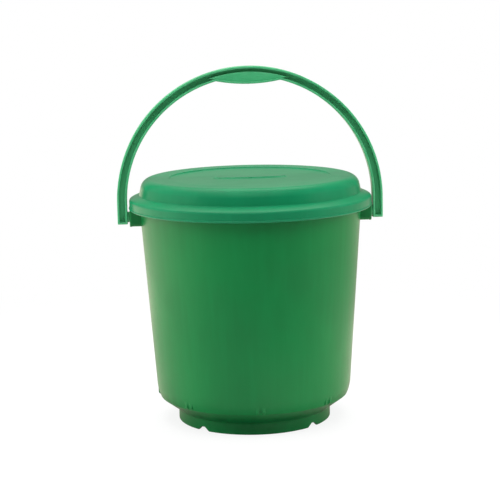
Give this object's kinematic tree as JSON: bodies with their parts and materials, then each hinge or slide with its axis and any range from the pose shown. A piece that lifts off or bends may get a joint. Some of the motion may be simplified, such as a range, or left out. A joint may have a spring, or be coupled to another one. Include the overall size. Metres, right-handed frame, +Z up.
{
  "type": "lidded bucket",
  "caption": "Round tapered plastic bucket on a notched foot ring, with a domed cap lid and a swinging bail handle with a moulded grip.",
  "frame": {"origin": "centre of the foot ring's underside, on the surface the bucket stands on", "axes": "+Z up, +X along the bail's pivot axis, +Y towards the back"},
  "size_m": [0.3226, 0.295, 0.4305],
  "materials": {
    "bucket_plastic": "semi-gloss moulded polypropylene, slightly translucent",
    "lid_plastic": "glossy moulded polypropylene",
    "bail_plastic": "semi-gloss moulded polypropylene"
  },
  "bodies": {
    "bucket": {"bucket_body": "bucket_plastic"},
    "lid": {"lid": "lid_plastic"},
    "bail": {"bail_handle": "bail_plastic"}
  },
  "joints": [
    {"name": "bail_swing", "type": "hinge", "parent": "bucket", "child": "bail", "pos_m": [0, 0, 0.252], "axis": [1, 0, 0], "range_deg": [-122, 122]},
    {"name": "lid_lift", "type": "slide", "parent": "bucket", "child": "lid", "axis": [0, 0, 1], "range_m": [0, 0.02]}
  ]
}
